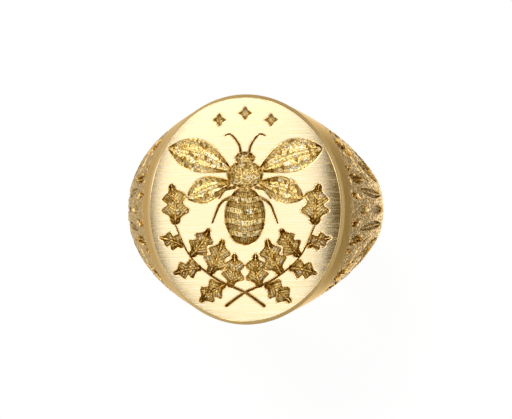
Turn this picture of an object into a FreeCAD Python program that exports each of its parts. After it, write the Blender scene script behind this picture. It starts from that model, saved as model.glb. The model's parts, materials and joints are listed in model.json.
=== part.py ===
import FreeCAD, Part
import math
import os

# Signet ring, built up at the bench from five pieces of gold and the five solder seams that join them.
#
# Frame: origin on the finger axis at mid-width, +Z up through the engraved table, +Y along the finger,
# +X across the finger.  Millimetres.  One STEP file is written for each piece.

# ---------------------------------------------------------------- driving sizes
# finger hole and band
bore_diameter = 17.3        # US size 7
belt_thickness = 2.1        # wall at each side of the finger, at the height of the finger axis
belt_width = 8.8            # band width there, along the finger
palm_thickness = 1.6        # wall at the palm side
palm_width = 4.8            # band width at the palm side
band_squareness = 8.0       # superellipse power of the band's section: high is flat-sided

# table (the oval seal face)
table_width = 15.7          # rim of the table, across the finger
table_length = 18.3         # rim of the table, along the finger
table_rim_height = 10.9     # rim above the finger axis
table_crown = 0.4           # rise of the table's middle above its rim
crown_power = 4.0           # how late the crown rolls off: 2 is even, 4 keeps the middle flat
plate_edge_thickness = 0.7  # table plate, measured at its rim
plate_lean = 0.03           # outward lean of the plate's edge, as a share of its half sizes

# how the flanks spread from band to head
flank_power = 2.0           # lean of the flanks seen along the finger
flare_start = 2.8           # growth of the half width that comes in evenly; the rest eases in and out
square_fade_power = 1.4     # how fast the section turns from band to head
palm_narrow_power = 1.475   # how fast the band narrows towards the palm

# joints
solder_thickness = 0.08     # of every solder seam
shoulder_top_angle = 45.0   # seam between head and shoulder, above the finger axis

# engraving
seal_cut_depth = 0.3        # floor of the seal's cuts below the table
flank_cut_depth = 0.25      # floor of the shoulders' cuts below the flank
flank_cut_angle = 22.0      # the shoulders are cut square to this direction above the finger axis

# ---------------------------------------------------------------- worked-out sizes
bore_r = bore_diameter / 2
belt_r = bore_r + belt_thickness
palm_r = bore_r + palm_thickness
belt_half = belt_width / 2
palm_half = palm_width / 2
table_a = table_width / 2
table_b = table_length / 2
plate_bottom = table_rim_height - plate_edge_thickness
head_a = table_a * (1 + plate_lean)
head_b = table_b * (1 + plate_lean)
head_block_top = plate_bottom - solder_thickness
REACH = 3 * belt_r          # larger than anything in the ring
SECTION_POINTS = 10         # points in each quarter of a section
STATIONS = 6                # steps from belt to head, and from belt to palm


def v(x, y, z):
    return FreeCAD.Vector(x, y, z)


# ---------------------------------------------------------------- the outer form
def flank_section(z):
    """Half width across, half width along and squareness of the level section at height z."""
    s = z / plate_bottom
    across = belt_r - (belt_r - head_a) * s ** flank_power
    late = head_b - belt_half - flare_start
    along = belt_half + flare_start * s + late * s * s * (3 - 2 * s)
    power = 2 + (band_squareness - 2) * (1 - s) ** square_fade_power
    return across, along, power


def band_section(turn):
    """Outer radius and half width of the half shank; turn runs from one side, 0, to the other, pi."""
    radius = palm_r + (belt_r - palm_r) * math.cos(turn) ** 2
    half = palm_half + (belt_half - palm_half) * (1 - math.sin(turn)) ** palm_narrow_power
    return radius, half


def superellipse(across, along, power, end):
    """Points from (across, 0) round to the angle end, at even steps of the ellipse's own angle."""
    points = []
    for i in range(SECTION_POINTS + 1):
        t = end * i / SECTION_POINTS
        points.append((across * max(0.0, math.cos(t)) ** (2 / power), along * math.sin(t)))
    return points


def level_wire(z, across, along, power):
    """Closed superellipse in a level plane."""
    first = superellipse(across, along, power, math.pi / 2)
    half = first + [(-x, y) for x, y in first[-2::-1]]
    points = half[:-1] + [(-x, -y) for x, y in half[:-1]]
    curve = Part.BSplineCurve()
    curve.interpolate(Points=[v(x, y, z) for x, y in points], PeriodicFlag=True)
    return Part.Wire([curve.toShape()])


def flank_body(inset=0.0):
    """Solid of the flanks from the finger axis up to the table plate."""
    wires = []
    for i in range(STATIONS + 1):
        z = plate_bottom * i / STATIONS
        across, along, power = flank_section(z)
        wires.append(level_wire(z, across - inset, along - inset, power))
    return Part.makeLoft(wires, True)


def band_profile(turn):
    """Half-round section of the band in a plane through the finger axis; its flat lies in the bore."""
    radius, half = band_section(turn)
    inner = bore_r - belt_thickness
    end = math.acos((inner / radius) ** (band_squareness / 2))
    far = superellipse(radius, half, band_squareness, end)
    outline = [(r, -y) for r, y in far[:0:-1]] + far
    out = v(math.cos(turn), 0, -math.sin(turn))
    points = [out * r + v(0, y, 0) for r, y in outline]
    curve = Part.BSplineCurve()
    curve.interpolate(Points=points)
    return Part.Wire([curve.toShape(), Part.makeLine(points[-1], points[0])])


def band_body():
    """Solid of the half shank, from one side of the finger round the palm to the other."""
    turns = [math.pi * i / (2 * STATIONS) for i in range(2 * STATIONS + 1)]
    return Part.makeLoft([band_profile(turn) for turn in turns], True)


def bore():
    return Part.makeCylinder(bore_r, 2 * REACH, v(0, -REACH, 0), v(0, 1, 0))


def sector(start, end):
    """Wedge through the whole ring between two angles above +X, in degrees."""
    steps = max(1, math.ceil((end - start) / 40))
    rays = [math.radians(start + (end - start) * i / steps) for i in range(steps + 1)]
    outline = [v(0, -REACH, 0)] + [v(REACH * math.cos(a), -REACH, REACH * math.sin(a)) for a in rays]
    return Part.Face(Part.makePolygon(outline + outline[:1])).extrude(v(0, 2 * REACH, 0))


def seam_slab(angle):
    """Thin slab in the plane through the finger axis at an angle above +X, in degrees."""
    slab = Part.makeBox(REACH, 2 * REACH, solder_thickness, v(0, -REACH, -solder_thickness / 2))
    slab.rotate(v(0, 0, 0), v(0, 1, 0), -angle)
    return slab


def below(z):
    return Part.makeBox(2 * REACH, 2 * REACH, REACH, v(-REACH, -REACH, z - REACH))


def above(z):
    return Part.makeBox(2 * REACH, 2 * REACH, REACH, v(-REACH, -REACH, z))


# ---------------------------------------------------------------- engraved outlines, seen from above
def leaf_outline(length, width, lobes=0, wave=0.0, fullness=0.8):
    """Right edge of a leaf upwards from its foot (0, 0), and left edge downwards from its tip (0, length)."""
    steps = 8 + 5 * lobes
    edge = []
    for i in range(1, steps):
        t = i / steps
        swell = math.sin(math.pi * t ** fullness) ** 0.8
        ripple = 1 - wave * (1 - math.cos(2 * math.pi * lobes * t)) / 2 if lobes else 1
        edge.append((width / 2 * swell * ripple, length * t))
    return [(0, 0)] + edge, [(0, length)] + [(-x, y) for x, y in reversed(edge)]


def placed(points, foot, heading, mirror=False):
    """Points turned so that +Y heads at an angle above +X, in degrees, and moved to the foot."""
    turn = math.radians(heading - 90)
    c, s = math.cos(turn), math.sin(turn)
    out = [(foot[0] + c * x - s * y, foot[1] + s * x + c * y) for x, y in points]
    return [(-x, y) for x, y in out] if mirror else out


def spline_edge(points, z):
    curve = Part.BSplineCurve()
    curve.interpolate(Points=[v(x, y, z) for x, y in points])
    return curve.toShape()


def leaf_cutter(foot, heading, length, width, floor, mirror=False, **shape):
    """Upright cutter with a leaf's outline, standing on its floor."""
    right, left = leaf_outline(length, width, **shape)
    right = placed(right + left[:1], foot, heading, mirror)
    left = placed(left + [(0, 0)], foot, heading, mirror)
    wire = Part.Wire([spline_edge(right, floor), spline_edge(left, floor)])
    return Part.Face(wire).extrude(v(0, 0, REACH))


def oval(z, centre, across, along):
    """Level oval wire; its long axis leads."""
    x, y = centre
    ends = [v(x, y + along, z), v(x + across, y, z)]
    if across > along:
        ends.reverse()
    return Part.Wire([Part.Ellipse(*ends, v(x, y, z)).toShape()])


def oval_cutter(centre, across, along, floor):
    return Part.Face(oval(floor, centre, across, along)).extrude(v(0, 0, REACH))


def stroke_cutter(points, width, floor, mirror=False):
    """Upright cutter along a smooth line that thins towards its end."""
    if mirror:
        points = [(-x, y) for x, y in points]
    line = Part.BSplineCurve()
    line.interpolate(Points=[v(x, y, 0) for x, y in points])
    sides = ([], [])
    steps = 4 * len(points)
    for i in range(steps + 1):
        t = line.FirstParameter + (line.LastParameter - line.FirstParameter) * i / steps
        at, along = line.value(t), line.tangent(t)[0]
        half = width / 2 * (1 - 0.5 * i / steps)
        for side, sign in zip(sides, (1, -1)):
            side.append((at.x - sign * along.y * half, at.y + sign * along.x * half))
    one, other = sides[0], sides[1][::-1]
    edges = [spline_edge(one, floor), spline_edge([one[-1], other[0]], floor),
             spline_edge(other, floor), spline_edge([other[-1], one[0]], floor)]
    return Part.Face(Part.Wire(edges)).extrude(v(0, 0, REACH))


def table_height(x, y):
    rho = math.hypot(x / table_a, y / table_b)
    return table_rim_height + table_crown * (1 - rho ** crown_power)


def seal_floor(x, y):
    return table_height(x, y) - seal_cut_depth


# Bee with spread wings above two crossed oak sprigs; every place is a share of the table's half sizes.
BEE_BODY = [  # centre along, half width, half length
    (0.46, 0.095, 0.060),
    (0.31, 0.165, 0.125),
    (-0.06, 0.185, 0.265),
]
BEE_WINGS = [  # foot across, foot along, heading, length, width
    (0.10, 0.33, 20.0, 0.65, 0.30),
    (0.11, 0.25, -20.0, 0.46, 0.24),
]
BEE_FEELER = [(0.04, 0.50), (0.07, 0.59), (0.15, 0.67), (0.21, 0.66)]
BEE_LEG = [(0.12, 0.12), (0.25, 0.06), (0.31, -0.05), (0.34, -0.12)]
SPRIG_STEM = [(-0.20, -0.86), (0.0, -0.74), (0.30, -0.62), (0.57, -0.42), (0.74, -0.12)]
SPRIG_LEAVES = [  # foot across, foot along, heading, length
    (0.16, -0.70, 98.0, 0.32),
    (0.20, -0.66, -35.0, 0.30),
    (0.38, -0.58, 112.0, 0.35),
    (0.45, -0.52, -12.0, 0.27),
    (0.57, -0.42, 124.0, 0.31),
    (0.64, -0.33, 20.0, 0.24),
    (0.73, -0.14, 84.0, 0.38),
]
STARS = [(0.0, 0.86), (0.27, 0.80), (-0.27, 0.80)]
STAR_RAY = 0.065            # length of a star's ray
LINE_WIDTH = 0.035          # widest part of a cut line
OAK_WIDTH = 0.72            # oak leaf's width as a share of its length
OAK = dict(lobes=3, wave=0.42, fullness=0.85)


def on_table(share):
    """A place on the table from its shares of the half width and half length."""
    return share[0] * table_a, share[1] * table_b


def seal_cutters():
    """Every cutter of the seal's picture; one scale, the table's half length, sizes the motifs."""
    cutters = []
    for along, half_width, half_length in BEE_BODY:
        centre = on_table((0, along))
        size = half_width * table_b, half_length * table_b
        cutters.append(oval_cutter(centre, *size, seal_floor(*centre)))
    for place in STARS:
        x, y = on_table(place)
        reach = STAR_RAY * table_b
        for foot, heading in (((x, y - reach), 90.0), ((x - reach, y), 0.0)):
            cutters.append(leaf_cutter(foot, heading, 2 * reach, 2 * LINE_WIDTH * table_b, seal_floor(x, y),
                                       fullness=1.0))
    for mirror in (False, True):
        for across, along, heading, length, width in BEE_WINGS:
            foot = on_table((across, along))
            cutters.append(leaf_cutter(foot, heading, length * table_b, width * table_b,
                                       seal_floor(*foot), mirror, fullness=1.3))
        for line in (BEE_FEELER, BEE_LEG, SPRIG_STEM):
            points = [on_table(p) for p in line]
            floor = seal_floor(*points[len(line) // 2])
            cutters.append(stroke_cutter(points, LINE_WIDTH * table_b, floor, mirror))
        for across, along, heading, length in SPRIG_LEAVES:
            foot = on_table((across, along))
            cutters.append(leaf_cutter(foot, heading, length * table_b, OAK_WIDTH * length * table_b,
                                       seal_floor(*foot), mirror, **OAK))
    return cutters


# Long leaves and a bud on a shoulder, in millimetres from the middle of the cutting direction: first along
# the finger, then up towards the head.
BLADES = [  # foot, heading, length, width
    ((0.0, -3.6), 90.0, 4.9, 0.8),
    ((1.2, -3.5), 86.0, 7.2, 0.9),
    ((2.3, -3.2), 74.0, 6.2, 1.0),
    ((3.1, -1.6), 62.0, 4.3, 0.9),
]
BUD = ((0.0, 2.7), 0.42, 1.2)           # centre, half width, half length


def flank_cutters():
    """Cutters of the right shoulder, square to their cutting direction."""
    cutters = [oval_cutter(*BUD, bore_r)]
    for mirror in (False, True):
        for foot, heading, length, width in BLADES:
            if foot[0] or not mirror:
                cutters.append(leaf_cutter(foot, heading, length, width, bore_r, mirror, fullness=1.0))
    for cutter in cutters:
        cutter.rotate(v(0, 0, 0), v(0, 0, 1), 90)
        cutter.rotate(v(0, 0, 0), v(0, 1, 0), 90 - flank_cut_angle)
    return cutters


# ---------------------------------------------------------------- pieces
def make_plate():
    """Oval table plate: leaning edge, crowned face, picture cut into it."""
    foot = oval(plate_bottom, (0, 0), head_a, head_b)
    over_a, over_b = table_a * (1 - plate_lean), table_b * (1 - plate_lean)
    over = oval(table_rim_height + plate_edge_thickness, (0, 0), over_a, over_b)
    shares = [i / STATIONS for i in range(-STATIONS, STATIONS + 1)]
    rows = [[v(head_a * i, head_b * j, table_height(head_a * i, head_b * j)) for j in shares] for i in shares]
    face = Part.BSplineSurface()
    face.interpolate(rows)
    plate = Part.makeLoft([foot, over], True, True).cut(face.toShape().extrude(v(0, 0, REACH)))
    for cutter in seal_cutters():
        plate = plate.cut(cutter)
    return plate


def write(name, shape):
    whole = shape.Solids[0] if len(shape.Solids) == 1 else Part.makeCompound(shape.Solids)
    whole.exportStep(os.path.join("parts", name + ".step"))
    print(name, len(shape.Solids), "solid(s)", round(whole.Volume, 3), "mm3", whole.isValid())


def main():
    os.makedirs("parts", exist_ok=True)
    write("table_plate", make_plate())

    flanks = flank_body().cut(bore())
    write("table_seam", flanks.common(above(head_block_top)))
    flanks = flanks.common(below(head_block_top))
    right_slab = seam_slab(shoulder_top_angle)
    left_slab = seam_slab(180 - shoulder_top_angle)
    write("right_head_seam", flanks.common(right_slab))
    write("left_head_seam", flanks.common(left_slab))
    pieces = flanks.cut([right_slab, left_slab])
    write("head_block", pieces.common(sector(shoulder_top_angle, 180 - shoulder_top_angle)))

    core = flank_body(flank_cut_depth)
    shoulder = pieces.common(sector(0, shoulder_top_angle))
    shoulder = shoulder.cut([cutter.cut(core) for cutter in flank_cutters()])
    write("right_shoulder", shoulder)
    write("left_shoulder", shoulder.mirror(v(0, 0, 0), v(1, 0, 0)))

    band = band_body().cut(bore())
    ends = band.common(above(-solder_thickness)).Solids
    ends.sort(key=lambda end: end.CenterOfMass.x)
    write("left_shank_seam", ends[0])
    write("right_shank_seam", ends[-1])
    write("half_shank", band.common(below(-solder_thickness)))


main()
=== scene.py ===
import json
import math

import bmesh
import bpy
import numpy as np
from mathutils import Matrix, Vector


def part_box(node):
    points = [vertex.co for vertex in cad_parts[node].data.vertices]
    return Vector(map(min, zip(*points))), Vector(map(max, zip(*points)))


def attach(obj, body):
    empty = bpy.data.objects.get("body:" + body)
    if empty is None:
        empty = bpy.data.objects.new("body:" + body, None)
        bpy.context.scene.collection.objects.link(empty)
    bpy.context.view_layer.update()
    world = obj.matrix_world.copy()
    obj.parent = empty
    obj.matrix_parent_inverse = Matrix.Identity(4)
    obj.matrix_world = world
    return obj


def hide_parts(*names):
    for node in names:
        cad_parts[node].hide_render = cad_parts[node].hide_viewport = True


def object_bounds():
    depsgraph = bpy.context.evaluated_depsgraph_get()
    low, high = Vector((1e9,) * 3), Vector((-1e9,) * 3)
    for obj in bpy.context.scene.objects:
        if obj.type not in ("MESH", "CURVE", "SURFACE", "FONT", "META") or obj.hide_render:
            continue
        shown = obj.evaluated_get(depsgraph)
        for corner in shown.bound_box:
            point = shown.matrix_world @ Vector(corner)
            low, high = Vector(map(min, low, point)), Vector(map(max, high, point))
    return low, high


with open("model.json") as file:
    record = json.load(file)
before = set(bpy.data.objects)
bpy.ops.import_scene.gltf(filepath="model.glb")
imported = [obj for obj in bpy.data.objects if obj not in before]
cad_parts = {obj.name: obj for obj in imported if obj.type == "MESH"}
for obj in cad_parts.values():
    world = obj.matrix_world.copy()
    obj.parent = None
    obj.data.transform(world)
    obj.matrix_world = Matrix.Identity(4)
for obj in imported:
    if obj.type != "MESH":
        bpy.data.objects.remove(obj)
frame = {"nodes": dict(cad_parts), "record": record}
cad_low, cad_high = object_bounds()

MM = 0.001


# ------------------------------------------------------------------ sizes in millimetres
# Those that a node's box shows are read off the frame.
def box_mm(node):
    low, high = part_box(node)
    return np.array(low) / MM, np.array(high) / MM


plate_low, plate_high = box_mm("table_plate")
shank_low, shank_high = box_mm("half_shank")
head_high = box_mm("head_block")[1]

PLATE_LEAN = 0.03                                   # the plate's edge leans out by this share
EDGE = 0.7                                          # plate thickness at its rim
CROWN = 0.4                                         # rise of the table's middle
BORE = frame["record"]["mounts"][0]["dims"]["r_mm"]  # radius of the finger hole
BELT = shank_high[0]                                # outer radius at each side of the finger
PALM = -shank_low[2]                                # outer radius at the palm
BELT_HALF = 4.4                                     # half width of the band at the sides
PALM_HALF = 2.4                                     # and at the palm
FLARE = 2.8                                         # growth of the half width that comes in evenly
BAND_POWER = 8.0                                    # how square the band's section is
ROUNDING_POWER = 1.4                                # how fast the section turns oval above the band
HEAD_A = plate_high[0]                              # half the head's top, across the finger
HEAD_B = plate_high[1]                              # and along it
TABLE_A = HEAD_A / (1 + PLATE_LEAN)                 # half the table inside the plate's lean, across
TABLE_B = HEAD_B / (1 + PLATE_LEAN)                 # and along
PLATE_BOTTOM = plate_low[2]
RIM = PLATE_BOTTOM + EDGE                           # height of the table's rim
HEAD_TOP = head_high[2]
SEAM = 0.08                                         # solder thickness
SEAM_REACH = BELT + 0.5                             # radius at which a turned seam is that thick
SEAM_TURN = math.radians(45)                        # the seam between head and shoulder
SEAM_HALF_TURN = math.atan(SEAM / 2 / SEAM_REACH)
CUT_ANGLE = math.radians(22)                        # the shoulders are cut square to this direction
COMFORT = 0.12                                      # rounding of the band's inner edges


# ------------------------------------------------------------------ helpers for carving
SCATTER = (127.1, 311.7, 74.7, 43758.5453)          # numbers that spread whole ones evenly
PIT_MARGIN, PIT_SPREAD = 0.15, 0.7                  # a pit's place in its square
SHALLOW, DEEPEST = 0.16, 0.40                       # depths between which a cut gets more painted shade
CREASE_ROUNDS = 10                                  # how far round a place its crease is judged
CREASE_GAIN = 11                                    # crease mark for each millimetre that it lies lower


def smooth(x):
    x = np.clip(x, 0, 1)
    return x * x * (3 - 2 * x)


def hashed(i, j, k):
    """Even scatter between 0 and 1 from whole numbers, the same on every run."""
    h = np.sin(i * SCATTER[0] + j * SCATTER[1] + k * SCATTER[2]) * SCATTER[3]
    return h - np.floor(h)


def pits(x, y, size):
    """Distance to the nearest of many scattered points, about one in each square of this size."""
    i, j = np.floor(x / size), np.floor(y / size)
    best = np.full(x.shape, 9.0)
    for di in (-1, 0, 1):
        for dj in (-1, 0, 1):
            px = (i + di + PIT_MARGIN + PIT_SPREAD * hashed(i + di, j + dj, 1)) * size
            py = (j + dj + PIT_MARGIN + PIT_SPREAD * hashed(i + di, j + dj, 2)) * size
            best = np.minimum(best, np.hypot(x - px, y - py) / size)
    return best


def grain(x, y, size):
    """Soft random unevenness between 0 and 1."""
    i, j = np.floor(x / size), np.floor(y / size)
    u, w = smooth(x / size - i), smooth(y / size - j)
    low = hashed(i, j, 3) * (1 - u) + hashed(i + 1, j, 3) * u
    high = hashed(i, j + 1, 3) * (1 - u) + hashed(i + 1, j + 1, 3) * u
    return low * (1 - w) + high * w


def curve_through(points, steps=8):
    """Smooth line through a few points."""
    p = np.array(points, float)
    if len(p) == 2:
        return p[0] + (p[1] - p[0]) * np.linspace(0, 1, steps + 1)[:, None]
    ends = np.vstack([2 * p[0] - p[1], p, 2 * p[-1] - p[-2]])
    out = []
    for a, b, c, d in zip(ends, ends[1:], ends[2:], ends[3:]):
        for i in range(steps):
            t = i / steps
            out.append(0.5 * (2 * b + (c - a) * t + (2 * a - 5 * b + 4 * c - d) * t ** 2
                              + (3 * b - a - 3 * c + d) * t ** 3))
    out.append(p[-1])
    return np.array(out)


class Relief:
    """Depth cut into a surface, over the flat places (x, y) of its points."""

    def __init__(self, x, y):
        self.x, self.y = x, y
        self.depth = np.zeros(x.shape)
        self.cut = np.zeros(x.shape)

    def near(self, low, high):
        """Which points lie in a box."""
        across = (self.x > low[0]) & (self.x < high[0])
        return np.nonzero(across & (self.y > low[1]) & (self.y < high[1]))[0]

    def sink(self, where, depth, wall):
        """Cut down to this depth inside a wall that runs from 0 to 1."""
        depth = depth * wall
        deeper = depth > self.depth[where]
        self.depth[where] = np.where(deeper, depth, self.depth[where])
        self.cut[where] = np.maximum(self.cut[where], wall)

    def along(self, points, half, shape, wall):
        """Cut along a smooth line.  half(t) is its half width and shape(t, s, l, w) its depth: t runs along
        it from 0 to 1 and s across it from -1 to 1, and l and w are the same in millimetres.  The wall
        is the width over which the cut comes down to its depth."""
        line = curve_through(points)
        widest = float(np.max(half(np.linspace(0, 1, 40)))) + 0.02
        where = self.near(line.min(0) - widest, line.max(0) + widest)
        x, y = self.x[where], self.y[where]
        best = np.full(x.shape, 1e9)
        at, side = np.zeros(x.shape), np.zeros(x.shape)
        lengths = np.hypot(*np.diff(line, axis=0).T)
        total, run = lengths.sum(), 0.0
        for (ax, ay), (bx, by), length in zip(line, line[1:], lengths):
            ux, uy = (bx - ax) / length, (by - ay) / length
            l = np.clip((x - ax) * ux + (y - ay) * uy, 0, length)
            dx, dy = x - ax - l * ux, y - ay - l * uy
            gap = np.hypot(dx, dy)
            closer = gap < best
            best = np.where(closer, gap, best)
            at = np.where(closer, run + l, at)
            side = np.where(closer, np.sign(ux * dy - uy * dx) * gap, side)
            run += length
        t = at / total
        width = np.maximum(half(t), 1e-4)
        inside = width - best
        keep = inside > 0
        s = side / width
        depth = shape(t, s, at, side)
        self.sink(where[keep], depth[keep], smooth(inside[keep] / wall))

    def oval(self, centre, half_x, half_y, shape, wall):
        """Cut an oval.  shape(u, w) gives the depth over the oval's own places, each from -1 to 1."""
        reach = np.array([half_x, half_y])
        where = self.near(centre - reach, centre + reach)
        u, w = (self.x[where] - centre[0]) / half_x, (self.y[where] - centre[1]) / half_y
        rho = np.hypot(u, w)
        keep = rho < 1
        inside = (1 - rho[keep]) * min(half_x, half_y)
        self.sink(where[keep], shape(u[keep], w[keep]), smooth(inside / wall))

    def deep(self, shape):
        """How far down the surface lies, from 0 at a shallow cut to 1 at the deepest."""
        return np.clip((self.depth.reshape(shape) - SHALLOW) / (DEEPEST - SHALLOW), 0, 1)

    def creases(self, shape):
        """Where the surface lies lower than the places round it."""
        depth = self.depth.reshape(shape)
        soft = depth
        for _ in range(CREASE_ROUNDS):
            padded = np.pad(soft, 1, mode="edge")
            soft = (padded[:-2, 1:-1] + padded[2:, 1:-1] + padded[1:-1, :-2] + padded[1:-1, 2:]) / 4
        return np.clip((depth - soft) * CREASE_GAIN, 0, 1)


def leaf_half(width, fullness, lobes=0, wave=0.0):
    """Half width of a leaf along its length.  Lobes and wave scallop its edge, and a fullness over 1 sets
    its belly nearer the tip."""
    def half(t):
        swell = np.sin(np.pi * np.clip(t, 0, 1) ** fullness) ** 0.8
        ripple = 1 - wave * (1 - np.cos(2 * np.pi * lobes * t)) / 2
        return width / 2 * np.nan_to_num(swell) * ripple
    return half


def veined(depth, pitch, rib=0.07, slant=1.0, groove=0.05):
    """Hollow either side of a standing midrib, with slanting cuts."""
    def shape(t, s, l, w):
        hollow = 0.62 + 0.38 * np.sin(np.pi * np.clip(np.abs(s), 0, 1)) - 0.30 * (1 - np.abs(s)) * t
        midrib = 0.75 * np.exp(-(w / rib) ** 2) * (1 - 0.5 * t)
        cuts = np.cos(2 * np.pi * (l - slant * np.abs(w)) / pitch)
        return depth * (hollow - midrib) + groove * (cuts > 0.2) * np.abs(np.minimum(1, np.abs(w) / rib))
    return shape


def plain(depth):
    """Rounded groove."""
    return lambda t, s, l, w: depth * (1 - 0.5 * s * s)


def tapering(width, tip):
    """Half width of a line that narrows to a share of its width at the tip."""
    return lambda t: width / 2 * (1 - (1 - tip) * t)


# ------------------------------------------------------------------ the seal's picture
# Places on the table are shares of its half sizes, across and along; lengths and widths are shares of its
# half length; headings are in degrees.
BEE_WINGS = [  # foot across, foot along, heading, length, width
    (0.10, 0.33, 20.0, 0.65, 0.30),
    (0.11, 0.25, -20.0, 0.46, 0.24),
]
BEE_FEELER = [(0.04, 0.50), (0.07, 0.59), (0.15, 0.67), (0.21, 0.66)]
BEE_LEGS = [
    [(0.12, 0.12), (0.25, 0.06), (0.31, -0.05), (0.34, -0.12)],
    [(0.11, 0.20), (0.21, 0.17), (0.27, 0.10)],
]
BEE_HEAD_AND_CHEST = [  # place along, half width, half length, hair in millimetres
    (0.46, 0.095, 0.060, 0.22),
    (0.31, 0.165, 0.125, 0.30),
]
BEE_ABDOMEN = (-0.06, 0.185, 0.265)     # place along, half width, half length
SPRIG_STEM = [(-0.20, -0.86), (0.0, -0.74), (0.30, -0.62), (0.57, -0.42), (0.74, -0.12)]
SPRIG_LEAVES = [  # foot across, foot along, heading, length
    (0.16, -0.70, 98.0, 0.32),
    (0.20, -0.66, -35.0, 0.30),
    (0.38, -0.58, 112.0, 0.35),
    (0.45, -0.52, -12.0, 0.27),
    (0.57, -0.42, 124.0, 0.31),
    (0.64, -0.33, 20.0, 0.24),
    (0.73, -0.14, 84.0, 0.38),
]
OAK_WIDTH = 0.72                        # a leaf's width over its length
STARS = [(0.0, 0.86), (0.27, 0.80), (-0.27, 0.80)]
STAR_RAY = 0.065                        # length of a star's ray
STAR_WIDTH = 0.07                       # width across two of its rays


def on_table(across, along):
    return across * TABLE_A, along * TABLE_B


def from_foot(foot, heading, length, bend):
    """Line from a foot towards a heading, bowed sideways by a share of its length."""
    a = math.radians(heading)
    along, side = np.array([math.cos(a), math.sin(a)]), np.array([-math.sin(a), math.cos(a)])
    foot = np.array(foot)
    return [foot, foot + along * length / 2 + side * bend * length, foot + along * length]


def mirrored(points, side):
    return [(side * p[0], p[1]) for p in points]


def wing_shape(t, s, l, w):
    """Shallow blown surface with long raised veins and fine cross cuts."""
    blown = 0.25 + 0.05 * np.cos(3 * np.pi * s) - 0.05 * t
    side_veins = 0.10 * np.exp(-((np.abs(s) - 0.45 * (1 - 0.5 * t)) / 0.10) ** 2)
    middle_vein = 0.12 * np.exp(-(s / 0.10) ** 2)
    cuts = 0.025 * (np.cos(2 * np.pi * (l + 0.6 * w) / 0.34) > 0.3)
    return blown - (side_veins + middle_vein) + cuts


def abdomen_shape(u, w):
    """Rounded body with bands of hair cut across it."""
    swell = 0.20 + 0.18 * (u * u + w * w)
    bands = smooth(0.5 + 2.2 * np.cos(2 * np.pi * (w * 2.6 + 0.14 * np.cos(np.pi * u))))
    hair = 0.05 * (np.cos(2 * np.pi * u * 9.5) > 0) * bands
    return swell + 0.12 * bands + hair


def hairy(depth, size, centre, half_x, half_y):
    """Rounded body dotted all over."""
    def shape(u, w):
        spots = pits(centre[0] + u * half_x, centre[1] + w * half_y, size)
        return depth - 0.12 * (1 - u * u - w * w) + 0.10 * smooth(1.25 - 2.2 * spots)
    return shape


def cut_line(relief, points, side, half, depth, wall):
    """Groove through places on the table."""
    relief.along(mirrored([on_table(*p) for p in points], side), half, plain(depth), wall=wall)


def engrave_sprig(relief, side):
    cut_line(relief, SPRIG_STEM, side, tapering(width=0.30, tip=0.5), depth=0.30, wall=0.10)
    for across, along, heading, length in SPRIG_LEAVES:
        length *= TABLE_B
        spine = from_foot(on_table(across, along), heading, length, bend=0.05)
        half = leaf_half(OAK_WIDTH * length, lobes=3, wave=0.42, fullness=0.85)
        relief.along(mirrored(spine, side), half, veined(depth=0.34, pitch=0.30), wall=0.15)


def engrave_bee_side(relief, side):
    for across, along, heading, length, width in BEE_WINGS:
        spine = from_foot(on_table(across, along), heading, length * TABLE_B, bend=0.04)
        half = leaf_half(width * TABLE_B, fullness=1.3)
        relief.along(mirrored(spine, side), half, wing_shape, wall=0.13)
    cut_line(relief, BEE_FEELER, side, tapering(width=0.26, tip=0.6), depth=0.26, wall=0.09)
    for leg in BEE_LEGS:
        cut_line(relief, leg, side, tapering(width=0.36, tip=0.45), depth=0.28, wall=0.10)


def engrave_seal(relief):
    """A bee over two crossed oak sprigs, under three stars."""
    for side in (1, -1):
        engrave_sprig(relief, side)
        engrave_bee_side(relief, side)
    for star in STARS:
        x, y = on_table(*star)
        reach = STAR_RAY * TABLE_B
        for dx, dy in ((reach, 0), (0, reach)):
            relief.along([(x - dx, y - dy), (x, y), (x + dx, y + dy)],
                         leaf_half(STAR_WIDTH * TABLE_B, fullness=1.0), plain(depth=0.30), wall=0.16)
    for along, half_x, half_y, hair in BEE_HEAD_AND_CHEST:
        centre = np.array(on_table(0, along))
        half_x, half_y = half_x * TABLE_B, half_y * TABLE_B
        relief.oval(centre, half_x, half_y, hairy(0.38, hair, centre, half_x, half_y), wall=0.13)
    along, half_x, half_y = BEE_ABDOMEN
    relief.oval(np.array(on_table(0, along)), half_x * TABLE_B, half_y * TABLE_B, abdomen_shape, wall=0.15)


# ------------------------------------------------------------------ the shoulders' foliage
# Places on a shoulder's drawing are in millimetres: first along the finger from its middle, then up towards
# the head, square to the cutting direction, from the line in that direction through the finger's centre.
# Headings are in degrees.
BLADES = [  # foot, heading, length, width
    ((0.0, -3.6), 90.0, 4.9, 0.8),
    ((1.2, -3.5), 86.0, 7.2, 0.9),
    ((2.3, -3.2), 74.0, 6.2, 1.0),
    ((3.1, -1.6), 62.0, 4.3, 0.9),
]
BUD = (0.0, 2.7)
BUD_HALF = (0.42, 1.2)      # half its width and half its length
SIDE_LEAVES = [  # foot, heading, length, width, bend
    ((2.5, 2.3), 80.0, 2.9, 0.95, 0.10),
    ((4.3, 2.9), 66.0, 2.6, 0.95, -0.10),
    ((4.1, -0.6), 30.0, 2.3, 0.85, 0.12),
    ((5.1, 1.2), 40.0, 2.5, 0.90, 0.12),
    ((6.0, 3.2), 58.0, 2.4, 0.85, 0.10),
    ((0.75, 3.4), 78.0, 2.1, 0.60, -0.12),
    ((3.5, 4.0), 88.0, 1.5, 0.60, 0.10),
    ((5.4, 4.1), 84.0, 1.4, 0.60, -0.10),
]
SCROLLS = [
    [(2.2, 0.8), (3.0, 2.6), (4.4, 3.6), (6.2, 3.9), (7.4, 3.3)],
    [(3.2, -3.0), (4.2, -1.6), (5.2, 0.2), (6.6, 1.4)],
]
MATTED_TOP = 5.5            # the matted ground ends here, below the bright strip under the table
MATTED_FADE = 0.5           # and fades out over this height
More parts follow.
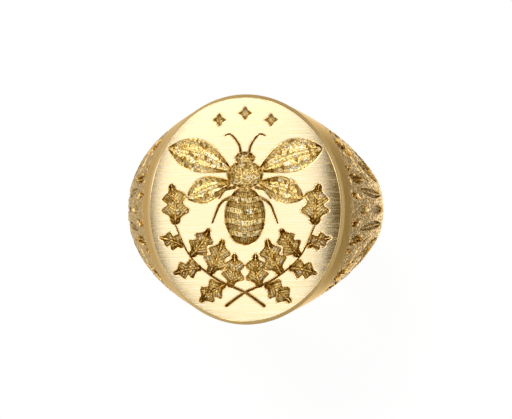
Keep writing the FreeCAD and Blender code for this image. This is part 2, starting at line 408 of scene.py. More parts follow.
FACING_LOW = 0.30           # no cuts where the flank faces the cutting direction by a smaller share
FACING_FADE = 0.35          # and whole ones where it faces it by this much more
BELT_FADE = 0.3             # cuts fade out over this height above the shank's seam
MATTING_LOST = 0.6          # share of the matting that a cut takes away


def shoulder_place(x, y, z):
    """Where points of the ring lie on the drawing of its shoulder."""
    return y, z * math.cos(CUT_ANGLE) - np.abs(x) * math.sin(CUT_ANGLE)


def bud_shape(u, w):
    """Scaled bud in a deep bed."""
    scales = np.cos(2 * np.pi * (u * 1.6 + w * 2.2)) * np.cos(2 * np.pi * (u * 1.6 - w * 2.2))
    return 0.20 + 0.16 * (u * u + w * w) + 0.07 * (scales > 0.1)


def engrave_shoulder(relief):
    """Long leaves and a bud from the belt, curled leaves on scrolling stems beside them."""
    blade = veined(depth=0.36, pitch=0.36, rib=0.06)
    curled = veined(depth=0.40, pitch=0.30, rib=0.06, slant=1.4, groove=0.07)
    for side in (1, -1):
        for foot, heading, length, width in BLADES:
            spine = mirrored(from_foot(foot, heading, length, bend=0.02), side)
            relief.along(spine, leaf_half(width, fullness=1.0), blade, wall=0.13)
        for foot, heading, length, width, bend in SIDE_LEAVES:
            spine = mirrored(from_foot(foot, heading, length, bend), side)
            relief.along(spine, leaf_half(width, lobes=3, wave=0.25, fullness=0.8), curled, wall=0.13)
        for scroll in SCROLLS:
            stem = tapering(width=0.24, tip=0.6)
            relief.along(mirrored(scroll, side), stem, plain(depth=0.26), wall=0.09)
    relief.oval(np.array(BUD), *BUD_HALF, bud_shape, wall=0.12)


def matting(x, y):
    """Shallow scraped and dotted ground."""
    scrape = grain(x, y * 1.6, 0.42) + 0.6 * grain(x * 1.9, y * 1.4, 0.3)
    dots = smooth(1.3 - 3.0 * pits(x, y, 0.34))
    return 0.07 * smooth(scrape - 0.35) + 0.05 * dots


# ------------------------------------------------------------------ meshes
MERGE = 1e-6                # points closer than this, in metres, are one


def in_scene(name, data):
    made = bpy.data.objects.new(name, data)
    bpy.context.scene.collection.objects.link(made)
    return made


def closed_piece(name, mesh, sharp, merge=MERGE):
    """Piece with its doubles merged, its faces outwards, and edges sharper than this many degrees kept."""
    bm = bmesh.new()
    bm.from_mesh(mesh)
    bmesh.ops.remove_doubles(bm, verts=bm.verts, dist=merge)
    bmesh.ops.recalc_face_normals(bm, faces=bm.faces)
    bm.to_mesh(mesh)
    bm.free()
    mesh.polygons.foreach_set("use_smooth", [True] * len(mesh.polygons))
    mesh.set_sharp_from_angle(angle=math.radians(sharp))
    mesh.name = name
    return in_scene(name, mesh)


def mesh_piece(name, points, faces, material, marks, sharp):
    """Closed piece from points in millimetres; marks are numbers kept at each point."""
    mesh = bpy.data.meshes.new(name)
    mesh.from_pydata((np.asarray(points) * MM).tolist(), [], faces)
    for mark, values in marks.items():
        attribute = mesh.attributes.new(mark, "FLOAT", "POINT")
        attribute.data.foreach_set("value", np.asarray(values, np.float32))
    mesh.materials.append(material)
    return closed_piece(name, mesh, sharp)


def grid_faces(rows, columns, first=0, wrap=False):
    """Quads between rows of points numbered one after another."""
    faces = []
    for r in range(rows - 1):
        for c in range(columns if wrap else columns - 1):
            d = (c + 1) % columns
            a, b = first + r * columns, first + (r + 1) * columns
            faces.append((a + c, a + d, b + d, b + c))
    return faces


def flank_size(z):
    """Half sizes of the flank at a height, and how square its section is: the band's at the finger's
    height, the head's oval under the plate."""
    s = np.clip(z / PLATE_BOTTOM, 0, 1)
    across = BELT - (BELT - HEAD_A) * s ** 2
    along = BELT_HALF + FLARE * s + (HEAD_B - BELT_HALF - FLARE) * s * s * (3 - 2 * s)
    power = 2 + (BAND_POWER - 2) * (1 - s) ** ROUNDING_POWER
    return across, along, power


def flank_point(z, t):
    across, along, power = flank_size(z)
    c = np.cos(t)
    return across * np.sign(c) * np.abs(c) ** (2 / power), along * np.sin(t)


def solve(test, low, high, rounds=36):
    """Lowest value between low and high at which a test holds, where it holds at all those above."""
    low, high = np.array(low, float), np.array(high, float)
    for _ in range(rounds):
        middle = (low + high) / 2
        holds = test(middle)
        high = np.where(holds, middle, high)
        low = np.where(holds, low, middle)
    return high


TABLE_STEPS = (270, 320)    # across and along the table
TABLE_EDGE = [              # rows down the plate's edge: share that it leans out, drop from the rim
    (0.003, 0.03),
    (0.006, 0.08),
    (0.010, 0.20),
    (0.02, 0.45),
    (PLATE_LEAN, EDGE),
]


def table_plate(material):
    """Crowned table with its picture, bright rim and leaning edge."""
    nu, nv = TABLE_STEPS
    u, w = np.meshgrid(np.linspace(-1, 1, nu + 1), np.linspace(-1, 1, nv + 1))
    x = TABLE_A * u * np.sqrt(1 - w * w / 2)
    y = TABLE_B * w * np.sqrt(1 - u * u / 2)
    rho = np.hypot(x / TABLE_A, y / TABLE_B)
    relief = Relief(x.ravel(), y.ravel())
    engrave_seal(relief)
    z = RIM + CROWN * (1 - rho ** 4) - relief.depth.reshape(x.shape)
    top = np.stack([x, y, z], 2).reshape(-1, 3)

    index = np.arange(len(top)).reshape(nv + 1, nu + 1)
    ring = np.concatenate([index[0, :-1], index[:-1, -1], index[-1, :0:-1], index[:0:-1, 0]]).tolist()
    points, faces, count = [top], grid_faces(nv + 1, nu + 1), len(ring)
    upper, first = ring, len(top)
    for lean, drop in TABLE_EDGE:
        points.append(top[ring] * np.array([1 + lean, 1 + lean, 0]) + np.array([0, 0, RIM - drop]))
        lower = list(range(first, first + count))
        for i in range(count):
            j = (i + 1) % count
            faces.append((upper[i], upper[j], lower[j], lower[i]))
        upper, first = lower, first + count
    points.append(np.array([[0, 0, PLATE_BOTTOM]]))
    faces += [(upper[i], upper[(i + 1) % count], first) for i in range(count)]
    points = np.vstack(points)

    below = np.zeros(len(points) - len(top))
    marks = {"cut": np.concatenate([relief.cut, below]),
             "crease": np.concatenate([relief.creases(x.shape).ravel(), below]),
             "deep": np.concatenate([relief.deep(x.shape).ravel(), below]),
             "side": np.concatenate([np.zeros(len(top)), below + 1])}
    return mesh_piece("table_plate_look", points, faces, material, marks, sharp=50)


def carve(points):
    """Sink the foliage into a grid of flank points; gives the points and their marks."""
    x, y, z = points[..., 0], points[..., 1], points[..., 2]
    a, up = shoulder_place(x, y, z)
    relief = Relief(a.ravel(), up.ravel())
    engrave_shoulder(relief)
    matted = smooth((MATTED_TOP - up) / MATTED_FADE)
    relief.depth += matting(relief.x, relief.y) * matted.ravel() * (1 - MATTING_LOST * relief.cut)
    direction = np.stack([np.sign(x) * math.cos(CUT_ANGLE), 0 * y, 0 * z + math.sin(CUT_ANGLE)], -1)
    normal = np.cross(np.gradient(points, axis=0), np.gradient(points, axis=1))
    facing = np.abs((normal * direction).sum(-1)) / np.linalg.norm(normal, axis=-1).clip(1e-9)
    fade = (smooth((facing - FACING_LOW) / FACING_FADE) * smooth(z / BELT_FADE)).ravel()
    relief.depth *= fade
    depth = relief.depth.reshape(x.shape)[..., None]
    marks = {"cut": (relief.cut * fade).reshape(x.shape), "crease": relief.creases(x.shape),
             "deep": relief.deep(x.shape), "matted": matted}
    return points - depth * direction, marks


HEAD_STEPS = (900, 56, 10)  # round the head, down its flank, across its underside


def head_block(material):
    """Head between the seams, arched over the finger hole; the foliage's tips end on its flanks."""
    n, m, across_steps = HEAD_STEPS
    t = 2 * np.pi * np.arange(n) / n
    slope = 1 / math.tan(SEAM_TURN + SEAM_HALF_TURN)

    def holds(z):
        x, _ = flank_point(z, t)
        return (np.abs(x) <= z * slope) & (x * x + z * z >= BORE ** 2)

    low = solve(holds, np.zeros(n), np.full(n, HEAD_TOP))
    share = np.linspace(0, 1, m + 1)[:, None]
    z = HEAD_TOP + (low - HEAD_TOP) * share
    x, y = flank_point(z, t)
    rows, marks = carve(np.stack([x, y, z], -1))
    points = [np.array([[0, 0, HEAD_TOP]]), rows.reshape(-1, 3)]
    faces = [(0, 1 + i, 1 + (i + 1) % n) for i in range(n)]
    faces += grid_faces(m + 1, n, 1, True)
    base = 1 + rows.shape[0] * n
    half = n // 2
    near, far = rows[-1][:half + 1], rows[-1][(-np.arange(half + 1)) % n]
    points += [near + (far - near) * k / across_steps for k in range(across_steps + 1)]
    faces += grid_faces(across_steps + 1, half + 1, base)
    points = np.vstack(points)
    underside = np.zeros(len(points) - base)
    marks = {key: np.concatenate([[0], mark.ravel(), underside]) for key, mark in marks.items()}
    return mesh_piece("head_block_look", points, faces, material, marks, sharp=40)


RULE_STEPS = 400            # points of the rule that a half section is read off
SECTION_STEPS = 120         # along half a section of a shoulder
SHOULDER_STEPS = 150        # sections in a shoulder
COMFORT_STEPS = 4           # round the inner edge
BORE_STEPS = 8              # along the bore


def shoulder_rows(turns, steps):
    """Half sections of the flank in planes through the finger axis, at even steps of length."""
    fine = np.linspace(0, math.pi / 2 - 1e-4, RULE_STEPS)
    rows = []
    for turn in turns:
        slope = math.tan(turn)
        z = solve(lambda z: flank_point(z, fine)[0] * slope <= z, np.zeros(fine.size),
                  np.full(fine.size, PLATE_BOTTOM))
        x, y = flank_point(z, fine)
        r = np.hypot(x, z)
        keep = r > BORE + COMFORT
        stop = int(np.argmin(keep)) if not keep.all() else fine.size
        r, y = r[:stop], y[:stop]
        run = np.concatenate([[0], np.cumsum(np.hypot(np.diff(r), np.diff(y)))])
        want = np.linspace(0, run[-1], steps + 1)
        rows.append((np.interp(want, run, r), np.interp(want, run, y)))
    return rows


def flank_slice(name, side, turns, material):
    """Slice of the flank between two turns about the finger: a carved shoulder, or its solder seam."""
    rows = shoulder_rows(turns, SECTION_STEPS)
    r = np.array([np.concatenate([half_r[:0:-1], half_r]) for half_r, _ in rows])
    y = np.array([np.concatenate([-half_y[:0:-1], half_y]) for _, half_y in rows])
    turn = turns[:, None] * np.ones_like(r)
    outer, marks = carve(np.stack([r * np.cos(turn), y, r * np.sin(turn)], 2))

    rim_r, rim_y = r[:, -1], y[:, -1]
    rounded = []
    for q in np.linspace(0, math.pi / 2, COMFORT_STEPS + 1)[1:]:
        rounded.append((rim_r - COMFORT * math.sin(q), rim_y - COMFORT * (1 - math.cos(q))))
    far = rounded[-1][1]
    bore = [(np.full(len(turns), BORE), far * (1 - 2 * k / BORE_STEPS)) for k in range(1, BORE_STEPS)]
    closing = rounded + bore + [(near_r, -near_y) for near_r, near_y in reversed(rounded)]
    inner = [np.stack([rr * np.cos(turns), yy, rr * np.sin(turns)], 1) for rr, yy in closing]
    loop = np.concatenate([outer, np.stack(inner, 1)], 1)
    loop[:, :, 0] *= side
    columns = loop.shape[1]
    points = loop.reshape(-1, 3)
    faces = grid_faces(len(turns), columns, 0, True)
    for row in (0, len(turns) - 1):
        points = np.vstack([points, loop[row].mean(0)])
        start = row * columns
        faces += [(start + i, start + (i + 1) % columns, len(points) - 1) for i in range(columns)]
    bare = ((0, 0), (0, len(inner)))
    marks = {key: np.concatenate([np.pad(mark, bare).ravel(), [0, 0]]) for key, mark in marks.items()}
    return mesh_piece(name, points, faces, material, marks, sharp=55)


# ------------------------------------------------------------------ node sheets
class Wire:
    """A number on its way between nodes, so that sums of them read as sums."""

    def __init__(self, sheet, socket):
        self.sheet, self.socket = sheet, socket

    def _with(self, kind, *values):
        return self.sheet.node("ShaderNodeMath", {"operation": kind}, dict(enumerate(values)))

    def __add__(self, other):
        return self._with("ADD", self, other)

    def __radd__(self, other):
        return self._with("ADD", other, self)

    def __sub__(self, other):
        return self._with("SUBTRACT", self, other)

    def __rsub__(self, other):
        return self._with("SUBTRACT", other, self)

    def __mul__(self, other):
        return self._with("MULTIPLY", self, other)

    def __rmul__(self, other):
        return self._with("MULTIPLY", other, self)

    def __truediv__(self, other):
        return self._with("DIVIDE", self, other)

    def __rtruediv__(self, other):
        return self._with("DIVIDE", other, self)

    def __pow__(self, other):
        return self._with("POWER", self, other)

    def __rpow__(self, other):
        return self._with("POWER", other, self)

    def __abs__(self):
        return self._with("ABSOLUTE", self)

    def held(self):
        """Kept between 0 and 1."""
        return self.sheet.node("ShaderNodeClamp", {}, {0: self})

    def sine(self):
        return self._with("SINE", self)

    def cosine(self):
        return self._with("COSINE", self)

    def arccosine(self):
        return self._with("ARCCOSINE", self)

    def sign(self):
        return self._with("SIGN", self)


class Sheet:
    """A node tree being written."""

    def __init__(self, tree):
        self.tree = tree

    def node(self, kind, settings=None, values=None, out=0):
        """New node; gives the wire from one of its outputs."""
        node = self.tree.nodes.new(kind)
        for key, value in (settings or {}).items():
            setattr(node, key, value)
        for key, value in (values or {}).items():
            if isinstance(value, Wire):
                self.tree.links.new(value.socket, node.inputs[key])
            else:
                node.inputs[key].default_value = value
        return Wire(self, node.outputs[out]) if len(node.outputs) else node

    def out(self, wire, name):
        """Another output of the node a wire comes from."""
        return Wire(self, wire.socket.node.outputs[name])

    def mark(self, name):
        return self.node("ShaderNodeAttribute", {"attribute_name": name}, out="Fac")

    def place(self, stretch):
        """The piece's own coordinates, stretched."""
        here = self.node("ShaderNodeTexCoord", out="Object")
        return self.node("ShaderNodeVectorMath", {"operation": "MULTIPLY"}, {0: here, 1: stretch})

    def noise(self, stretch, detail=3.0, roughness=0.6):
        """Soft noise with about this many lumps in a metre along x, y and z."""
        return self.node("ShaderNodeTexNoise", {}, {"Vector": self.place(stretch), "Scale": 1.0,
                                                    "Detail": detail, "Roughness": roughness})

    def blend(self, share, one, other):
        """Colour between two colours."""
        return self.node("ShaderNodeMix", {"data_type": "RGBA"}, {0: share, 6: one, 7: other}, out=2)

    def metal(self, colour, rough, height, strength, distance):
        """Finish the material as metal with a fine relief of this height."""
        bump = self.node("ShaderNodeBump", {}, {"Strength": strength, "Distance": distance,
                                                "Height": height})
        self.surface(self.node("ShaderNodeBsdfPrincipled", {}, {
            "Base Color": colour, "Metallic": 1.0, "Roughness": rough, "Normal": bump}))

    def surface(self, shader):
        self.node("ShaderNodeOutputMaterial", {}, {"Surface": shader})


def new_material(name):
    material = bpy.data.materials.new(name)
    material.use_nodes = True
    material.node_tree.nodes.clear()
    return material, Sheet(material.node_tree)


# ------------------------------------------------------------------ the golds
# The brushed table's gold is paled towards white: a painted highlight for its bright reflection.
BRUSHED_HIGHLIT = (0.99, 0.82, 0.58, 1)
BRUSHED_DEEP = (0.86, 0.66, 0.18, 1)
SATIN = (0.93, 0.63, 0.21, 1)
SATIN_DEEP = (0.86, 0.55, 0.18, 1)
MATTED = (0.97, 0.75, 0.42, 1)
MATTED_DEEP = (0.90, 0.60, 0.23, 1)
POLISHED = (0.96, 0.74, 0.38, 1)
CARVED = (0.97, 0.77, 0.35, 1)
# Painted shade: dark colour put where the cuts are deep, in their creases and in some hollows.
PAINTED_SHADE = (0.27, 0.15, 0.022, 1)
# Painted glint: near-white colour put in some of the graver's hollows.
PAINTED_GLINT = (1.0, 0.95, 0.80, 1)

# How often each pattern repeats in a metre, along x, y and z.
BRUSH_LINES = (350, 16000, 350)
BRUSH_BANDS = (160, 3500, 160)
CUT_GRIT = (9000, 9000, 9000)
GRAVER_HOLLOWS = (4600, 2900, 3600)
FLANK_LINES = (900, 900, 12000)
FLANK_GRIT = (7000, 7000, 7000)
FLANK_PATCHES = (1300, 1300, 1300)
SHANK_LINES = (700, 9000, 700)
SOLDER_LUMPS = (5000, 5000, 5000)
WEAR = (420, 420, 420)

PAINTED_GLINT_CHIPS = 0.82             # hollows whose chance is above this get a painted glint
PAINTED_SHADE_CHIPS = 0.22               # and below this painted shade
CHIP_EDGE = 12                  # how fast one turns into the other
CHIP_SHARE = 0.9                # how much of its colour a hollow takes
SHANK_ROUGH = 0.20
SOLDER_ROUGH = 0.28
CUT_RELIEF = 0.00005            # metres that the relief of cut and matted gold stands for
LINE_RELIEF = 0.000006          # and that of fine lines on smooth gold
HOLLOW_HEIGHT = 1.5             # the graver's hollows in that relief


def graver_hollows(s):
    """Height of the small long hollows that the graver leaves side by side."""
    return s.node("ShaderNodeTexVoronoi", {}, {"Vector": s.place(GRAVER_HOLLOWS), "Scale": 1.0})


def cut_glints_and_shade(s, hollows):
    """Cut gold with a painted glint in some hollows and painted shade in others."""
    chance = s.node("ShaderNodeSeparateColor", {}, {0: s.out(hollows, "Color")})
    bright = ((chance - PAINTED_GLINT_CHIPS) * CHIP_EDGE).held() * CHIP_SHARE
    dark = ((PAINTED_SHADE_CHIPS - chance) * CHIP_EDGE).held() * CHIP_SHARE
    return s.blend(dark, s.blend(bright, CARVED, PAINTED_GLINT), PAINTED_SHADE)


def engraved_with_painted_light(s, gold, hollows, in_cut, deep_shade, crease_shade):
    """Colour with the cuts in it: painted glints and shade in their hollows, and painted shade where they
    are deep and in their creases.
    """
    gold = s.blend((s.mark("cut") * in_cut).held(), gold, cut_glints_and_shade(s, hollows))
    gold = s.blend(s.mark("deep") * deep_shade, gold, PAINTED_SHADE)
    return s.blend((s.mark("crease") * crease_shade).held(), gold, PAINTED_SHADE)


def brushed_table():
    """Brushed across the finger; the cuts have painted glints and shade in their hollows and painted shade
    in their creases and deep parts, the rim satin.
    """
    material, s = new_material("Brushed gold with painted light in its cuts")
    cut, side = s.mark("cut"), s.mark("side")
    lines = s.noise(BRUSH_LINES)
    bands = s.noise(BRUSH_BANDS, detail=2.0, roughness=0.5)
    grit = s.noise(CUT_GRIT, detail=2.0)
    hollows = graver_hollows(s)
    field = (1 - cut) * (1 - side)
    bold = (lines * 3.2 - 1.1).held()
    brushed = s.blend(bold * 0.45, BRUSHED_HIGHLIT, BRUSHED_DEEP)
    gold = engraved_with_painted_light(s, s.blend(side, brushed, SATIN), hollows, in_cut=1.2, deep_shade=0.6, crease_shade=0.85)
    rough = field * (0.07 + 0.17 * bold) + (1 - field) * (0.10 + 0.10 * grit) + side * 0.14
    height = field * (lines * 0.16 + bands * 0.10) + cut * (grit * 0.4 + hollows * HOLLOW_HEIGHT)
    s.metal(gold, rough, height, strength=0.8, distance=CUT_RELIEF)
    return material


def carved_flank():
    """Satin under the table, scraped and matted lower down; the cuts have painted glints and shade in their
    hollows, and painted shade in their crevices and deep parts.
    """
    material, s = new_material("Carved gold")
    cut, matted = s.mark("cut"), s.mark("matted")
    lines = s.noise(FLANK_LINES)
    grit = s.noise(FLANK_GRIT)
    patch = s.noise(FLANK_PATCHES, roughness=0.55)
    hollows = graver_hollows(s)
    satin = s.blend(lines * 0.6, SATIN, SATIN_DEEP)
    mottled = s.blend((patch * 2.4 - 0.7).held(), MATTED, MATTED_DEEP)
    gold = engraved_with_painted_light(s, s.blend(matted, satin, mottled), hollows, in_cut=0.9, deep_shade=0.35, crease_shade=0.7)
    rough = matted * (0.12 + 0.16 * grit) + (1 - matted) * (0.26 + 0.14 * lines)
    height = matted * (grit + patch * 1.2) + (1 - matted) * lines * 0.2 + cut * hollows * HOLLOW_HEIGHT
    s.metal(gold, rough, height, strength=0.8, distance=CUT_RELIEF)
    return material


def smooth_gold(name, colour, worn, rough, lines):
    """Polished gold or solder, with fine lines along one direction or lumps, and faint wear."""
    material, s = new_material(name)
    fine = s.noise(lines)
    wear = s.noise(WEAR, roughness=0.55)
    tone = s.blend(wear * 0.6, colour, worn)
    s.metal(tone, rough + 0.14 * fine, fine, strength=0.4, distance=LINE_RELIEF)
    return material


# ------------------------------------------------------------------ half shank, grown from its rule
SHANK_STEPS = (193, 97)         # round the finger, with a cap at each end, and round the section
OUTSIDE, CORNER = 0.76, 0.82    # shares of half a section where the outside and the inner corner end
CROWDING = 0.85                 # points stand closer towards the edge of the outside
NARROWING = 1.475               # how soon the shank narrows towards the palm


def rule_tree(material):
    """Node tree that bends a flat grid into the half shank: round the finger one way, round the section
    the other."""
    tree = bpy.data.node_groups.new("Half shank rule", "GeometryNodeTree")
    tree.interface.new_socket("Geometry", in_out="OUTPUT", socket_type="NodeSocketGeometry")
    sizes = ("Belt radius", "Palm radius", "Belt half width", "Palm half width", "Finger radius",
             "Squareness", "Edge rounding", "Start turn")
    for label in sizes:
        tree.interface.new_socket(label, in_out="INPUT", socket_type="NodeSocketFloat")
    s = Sheet(tree)
    entry = s.node("NodeGroupInput")
    belt, palm, belt_half, palm_half, finger, square, rounding, start = [
        s.out(entry, size) for size in sizes]
    around, about = SHANK_STEPS
    sheet = s.node("GeometryNodeMeshGrid", {}, {"Size X": 1.0, "Size Y": 1.0, "Vertices X": around,
                                                "Vertices Y": about})
    split = s.node("ShaderNodeSeparateXYZ", {}, {0: s.node("GeometryNodeInputPosition")})
    u, w = split + 0.5, s.out(split, "Y") * 2
    step = u * (around - 1)
    turn = start + ((step - 1) / (around - 3)).held() * (math.pi - 2 * start)
    cosine, sine = turn.cosine(), turn.sine()
    radius = palm + (belt - palm) * cosine * cosine
    half = palm_half + (belt_half - palm_half) * (1 - sine) ** NARROWING
    share = abs(w)
    outside = (share / OUTSIDE).held()
    corner = ((share - OUTSIDE) / (CORNER - OUTSIDE)).held()
    inside = ((share - CORNER) / (1 - CORNER)).held()
    stop = (((finger + rounding) / radius) ** (square / 2)).arccosine()
    t = outside ** CROWDING * stop
    quarter = corner * (math.pi / 2)
    out = radius * t.cosine() ** (2 / square) - rounding * quarter.sine()
    along = (half * t.sine() - rounding * (1 - quarter.cosine())) * (1 - inside)
    cap = abs(step - (around - 1) / 2) - (around - 1) / 2 + 1
    keep = 1 - cap.held()
    hub = (radius + finger) * 0.5
    reach = hub + (out - hub) * keep
    spot = s.node("ShaderNodeCombineXYZ", {}, {0: reach * cosine, 1: along * w.sign() * keep,
                                               2: reach * sine * -1.0})
    bent = s.node("GeometryNodeSetPosition", {}, {"Geometry": sheet, "Position": spot})
    joined = s.node("GeometryNodeMergeByDistance", {}, {"Geometry": bent, "Distance": MERGE})
    real = s.node("GeometryNodeRealizeInstances", {}, {"Geometry": joined})
    done = s.node("GeometryNodeSetMaterial", {}, {"Geometry": real, "Material": material})
    s.node("NodeGroupOutput", {}, {0: done})
    return tree


def half_shank(material):
    """Plain lower half of the band, narrowing and thinning towards the palm."""
    tree = rule_tree(material)
    holder = in_scene("half_shank_rule", bpy.data.meshes.new("half_shank_rule"))
    modifier = holder.modifiers.new("rule", "NODES")
    modifier.node_group = tree
    values = {"Belt radius": BELT * MM, "Palm radius": PALM * MM, "Belt half width": BELT_HALF * MM,
              "Palm half width": PALM_HALF * MM, "Finger radius": BORE * MM, "Squareness": BAND_POWER,
              "Edge rounding": COMFORT * MM, "Start turn": math.asin(SEAM / BELT)}
    for item in tree.interface.items_tree:
        if item.in_out == "INPUT":
            modifier[item.identifier] = float(values[item.name])
    graph = bpy.context.evaluated_depsgraph_get()
    mesh = bpy.data.meshes.new_from_object(holder.evaluated_get(graph))
    holder.modifiers.remove(modifier)
    bpy.data.objects.remove(holder)
    return closed_piece("half_shank_look", mesh, sharp=50, merge=MERGE / 10)


# ------------------------------------------------------------------ build
def add(piece, node):
    """Fix a piece to the ring's body and in place of its CAD node."""
    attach(piece, "root")
    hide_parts(node)


carved_gold = carved_flank()
polished_gold = smooth_gold("Polished gold", POLISHED, SATIN, SHANK_ROUGH, SHANK_LINES)
solder = smooth_gold("Gold solder", POLISHED, MATTED, SOLDER_ROUGH, SOLDER_LUMPS)
add(table_plate(brushed_table()), "table_plate")
add(head_block(carved_gold), "head_block")
seam_low, seam_high = SEAM_TURN - SEAM_HALF_TURN, SEAM_TURN + SEAM_HALF_TURN
for hand, side in (("right", 1), ("left", -1)):
    for part, turns in (("_shoulder", np.linspace(0, seam_low, SHOULDER_STEPS)),
                        ("_head_seam", np.array([seam_low, seam_high]))):
        add(flank_slice(hand + part + "_look", side, turns, carved_gold), hand + part)
add(half_shank(polished_gold), "half_shank")
for seam in ("table_seam", "right_shank_seam", "left_shank_seam"):
    node = frame["nodes"][seam]
    node.data.materials.clear()
    node.data.materials.append(solder)


# ------------------------------------------------------------------ studio
FLOOR_HALF = 2.0                # metres
FLOOR_GAP = 0.0002              # the floor lies this far under the ring
FLOOR_GLOW = 0.9                # share of the floor that is plain white; the rest takes the ring's shadow
FLOOR_PAPER = (0.92, 0.92, 0.92, 1)
WHITE = (1, 1, 1, 1)
WORLD_LEVEL = 0.55              # the world's light on the ring
LAMPS = [  # name, degrees round from +X, degrees down from straight up, watts
    ("key", 115, 42, 3.0),
    ("fill", -65, 50, 2.0),
]
LAMP_SIZE, LAMP_REACH = 0.40, 0.6

# The cards round the ring, which only its reflections see; angles in degrees.
CEILING, DARK = 1.20, 0.12      # their levels
WARM = (1.0, 0.72, 0.20)        # tint of their dark parts
CARD_COLUMNS = [3.0 * i for i in range(120)]
CEILING_GAP = 32                # angle from straight up at which the dark wall starts
CLOSER = [(0, 66, 21), (195, 70, 4)]    # where it comes in closer: direction, spread, angle
WALL_END = 86                   # angle from straight up at which the wall ends
WALL_REACH = 0.2
WALL_ROWS = [  # share of the way down the wall (below 0 in the ceiling), level, share of strips, warmth
    (-1.0, CEILING, 0.0, 0.0),
    (-0.12, CEILING, 0.0, 0.0),
    (0.0, DARK, 0.0, 1.0),
    (0.15, DARK, 0.0, 1.0),
    (0.25, DARK, 1.6, 0.8),
    (0.42, 1.0, 2.4, 0.3),
    (0.80, 1.0, 2.0, 0.3),
    (1.0, 0.5, 0.0, 0.4),
]
STRIPS = [  # direction, spread, level
    (25, 9, 1.2),
    (75, 9, 1.4),
    (125, 9, 1.4),
    (165, 9, 1.2),
    (215, 9, 1.2),
    (255, 9, 1.4),
    (318, 8, 1.2),
]
APRON_GAP = 0.0003              # the apron lies this far above the lowest point of the ring
APRON_TINT = (1.0, 0.93, 0.76)
APRON_ROWS = [  # radius, level, how much darker it is towards +X
    (0.012, 1.03, -0.24),
    (0.019, 1.03, -0.24),
    (0.025, 0.40, 0.10),
    (0.04, 0.32, 0.13),
    (0.16, 0.31, 0.13),
]

CAMERA_TILT = 4.6               # degrees towards +X from straight above
CAMERA_REACH = 0.35
LENS, SENSOR = 292, 36


def toward(azimuth, polar):
    """Direction a number of degrees round from +X and down from straight up."""
    a, p = math.radians(azimuth), math.radians(polar)
    return Vector((math.sin(p) * math.cos(a), math.sin(p) * math.sin(a), math.cos(p)))


def seen_white(s):
    """1 for the rays that see the plain background: the eye's, and those off metal and through glass."""
    rays = s.node("ShaderNodeLightPath", out="Is Camera Ray")
    return (rays + s.out(rays, "Is Glossy Ray") + s.out(rays, "Is Transmission Ray")).held()


def floor():
    """Pale floor that fades into the background and takes the ring's shadow."""
    material, s = new_material("Pale floor")
    seen = seen_white(s)
    paper = s.node("ShaderNodeBsdfDiffuse", {}, {"Color": FLOOR_PAPER})
    glow = s.node("ShaderNodeEmission", {}, {"Color": WHITE, "Strength": 1.0})
    s.surface(s.node("ShaderNodeMixShader", {}, {0: seen * FLOOR_GLOW, 1: paper, 2: glow}))
    mesh = bpy.data.meshes.new("floor")
    corners = [(FLOOR_HALF * x, FLOOR_HALF * y, cad_low.z - FLOOR_GAP)
               for x, y in ((-1, -1), (1, -1), (1, 1), (-1, 1))]
    mesh.from_pydata(corners, [], [(0, 1, 2, 3)])
    mesh.materials.append(material)
    in_scene("floor", mesh)


def daylight():
    """World that lights softly and looks white."""
    world = bpy.data.worlds.new("Studio")
    bpy.context.scene.world = world
    world.use_nodes = True
    world.node_tree.nodes.clear()
    s = Sheet(world.node_tree)
    level = WORLD_LEVEL + (1 - WORLD_LEVEL) * seen_white(s)
    back = s.node("ShaderNodeBackground", {}, {"Color": WHITE, "Strength": level})
    s.node("ShaderNodeOutputWorld", {}, {"Surface": back})


def lamps():
    for name, azimuth, polar, power in LAMPS:
        lamp = bpy.data.lights.new(name, "AREA")
        lamp.size = LAMP_SIZE
        lamp.energy = power
        made = in_scene(name, lamp)
        made.location = toward(azimuth, polar) * LAMP_REACH
        made.rotation_euler = toward(azimuth, polar).to_track_quat("Z", "Y").to_euler()


def hump(azimuth, middle, spread):
    """1 in one direction, falling to 0 on both sides of it."""
    away = abs((azimuth - middle + 180) % 360 - 180)
    return max(0.0, 1 - (away / spread) ** 2)


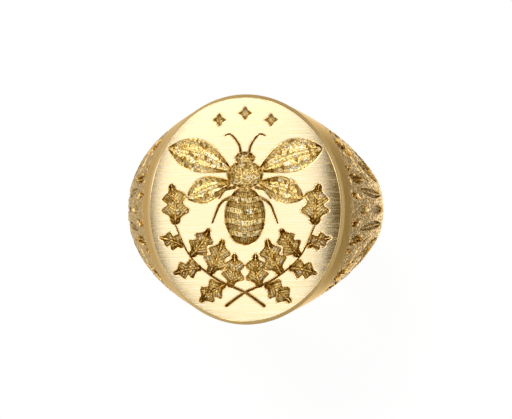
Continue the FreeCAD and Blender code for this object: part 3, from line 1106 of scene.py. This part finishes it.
def shell(name, rings, glows):
    """Glowing sheet between rings of points, seen only in reflections; each point has its own colour."""
    mesh = bpy.data.meshes.new(name)
    points = [tuple(point) for ring in rings for point in ring]
    mesh.from_pydata(points, [], grid_faces(len(rings), len(rings[0]), 0, True))
    colours = mesh.attributes.new("glow", "FLOAT_COLOR", "POINT")
    colours.data.foreach_set("color", [part for glow in glows for part in (*glow, 1)])
    material, s = new_material(name)
    colour = s.node("ShaderNodeAttribute", {"attribute_name": "glow"}, out="Color")
    s.surface(s.node("ShaderNodeEmission", {}, {"Color": colour, "Strength": 1.0}))
    mesh.materials.append(material)
    made = in_scene(name, mesh)
    made.visible_camera = made.visible_diffuse = made.visible_shadow = False


def wall():
    """A ceiling in a dark wall with bright strips."""
    rings, glows = [], []
    for share, level, strip_share, warmth in WALL_ROWS:
        ring = []
        tint = [1 + warmth * (part - 1) for part in WARM]
        for azimuth in CARD_COLUMNS:
            gap, strips = CEILING_GAP, 0.0
            for middle, spread, angle in CLOSER:
                gap -= angle * hump(azimuth, middle, spread)
            for middle, spread, bright in STRIPS:
                strips += bright * hump(azimuth, middle, spread)
            polar = gap + share * (gap if share < 0 else WALL_END - gap)
            ring.append(toward(azimuth, polar) * WALL_REACH)
            glows.append([(level + strip_share * strips) * part for part in tint])
        rings.append(ring)
    shell("wall", rings, glows)


def apron():
    """A grey card on the floor round the ring, bright close to it."""
    up = Vector((0, 0, cad_low.z + APRON_GAP))
    rings, glows = [], []
    for reach, level, lean in APRON_ROWS:
        rings.append([toward(azimuth, 90) * reach + up for azimuth in CARD_COLUMNS])
        for azimuth in CARD_COLUMNS:
            here = level - lean * math.cos(math.radians(azimuth))
            glows.append([here * part for part in APRON_TINT])
    shell("apron", rings, glows)


def camera():
    data = bpy.data.cameras.new("camera")
    data.sensor_width = SENSOR
    data.lens = LENS
    data.clip_start = 0.01
    made = in_scene("camera", data)
    made.location = toward(0, CAMERA_TILT) * CAMERA_REACH
    made.rotation_euler = (0, math.radians(CAMERA_TILT), 0)
    bpy.context.scene.camera = made


floor()
daylight()
lamps()
wall()
apron()
camera()
bpy.context.scene.view_settings.view_transform = "Standard"
